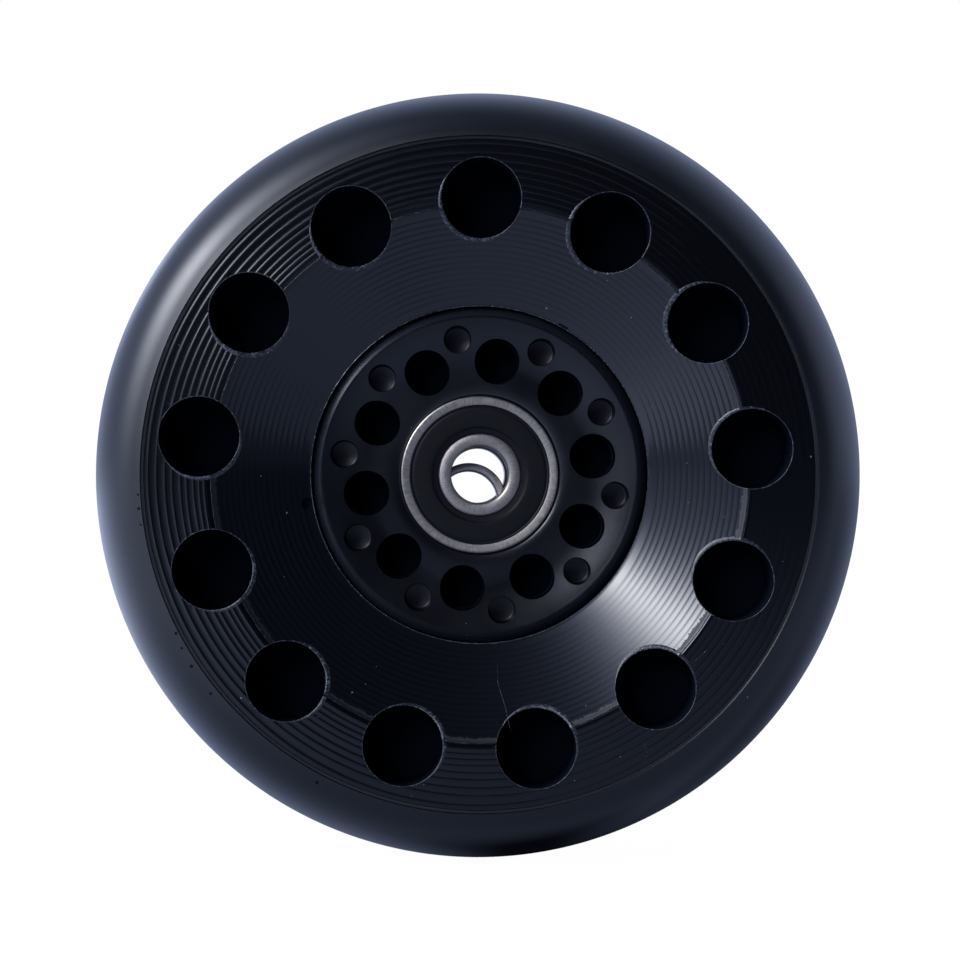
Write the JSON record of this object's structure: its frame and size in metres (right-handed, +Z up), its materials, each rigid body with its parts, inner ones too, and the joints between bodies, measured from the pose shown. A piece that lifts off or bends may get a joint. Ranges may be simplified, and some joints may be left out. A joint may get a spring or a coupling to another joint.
{
  "type": "caster wheel",
  "caption": "Solid-core caster wheel: dished gloss core with blind holes, matt round tyre, satin hub on two sealed ball bearings with a loose spacer tube.",
  "frame": {"origin": "centre of the wheel, on the axle line at mid-width", "axes": "+Y along the axle towards the rear face, front face towards -Y, +Z up with the wheel standing on its tread, +X to the right seen from the front"},
  "size_m": [0.11, 0.032, 0.11],
  "materials": {
    "tyre": "matt black polyurethane",
    "core_gloss": "gloss black, fine turned rings",
    "hub_nylon": "satin black, spark-eroded grain",
    "ring_steel": "ground bearing steel",
    "ball_steel": "polished",
    "spacer_steel": "cut tube, dull ends",
    "seal_rubber": "black nitrile",
    "cage_nylon": "natural nylon"
  },
  "bodies": {
    "axle_side": {"front_inner_ring": "ring_steel", "rear_inner_ring": "ring_steel"},
    "wheel": {"tyre": "tyre", "wheel_core": "core_gloss", "hub": "hub_nylon", "front_outer_ring": "ring_steel", "front_outer_seal": "seal_rubber", "front_inner_seal": "seal_rubber", "rear_outer_ring": "ring_steel", "rear_outer_seal": "seal_rubber", "rear_inner_seal": "seal_rubber"},
    "spacer": {"centre_spacer": "spacer_steel"},
    "front_cage": {"front_cage": "cage_nylon", "front_ball_1": "ball_steel", "front_ball_2": "ball_steel", "front_ball_3": "ball_steel", "front_ball_4": "ball_steel", "front_ball_5": "ball_steel", "front_ball_6": "ball_steel", "front_ball_7": "ball_steel"},
    "rear_cage": {"rear_cage": "cage_nylon", "rear_ball_1": "ball_steel", "rear_ball_2": "ball_steel", "rear_ball_3": "ball_steel", "rear_ball_4": "ball_steel", "rear_ball_5": "ball_steel", "rear_ball_6": "ball_steel", "rear_ball_7": "ball_steel"}
  },
  "joints": [
    {"name": "wheel_spin", "type": "hinge", "parent": "axle_side", "child": "wheel", "pos_m": [0, 0, 0], "axis": [0, 1, 0], "continuous": true},
    {"name": "front_cage_spin", "type": "hinge", "parent": "axle_side", "child": "front_cage", "pos_m": [0, -0.0085, 0], "axis": [0, 1, 0], "continuous": true},
    {"name": "rear_cage_spin", "type": "hinge", "parent": "axle_side", "child": "rear_cage", "pos_m": [0, 0.0085, 0], "axis": [0, 1, 0], "continuous": true},
    {"name": "spacer_shift", "type": "slide", "parent": "axle_side", "child": "spacer", "axis": [0.3697, 0, 0.9291], "range_m": [0, 0.0039]}
  ],
  "couplings": [
    {"joint": "front_cage_spin", "follows": "wheel_spin", "ratio": 0.6323},
    {"joint": "rear_cage_spin", "follows": "wheel_spin", "ratio": 0.6323}
  ]
}
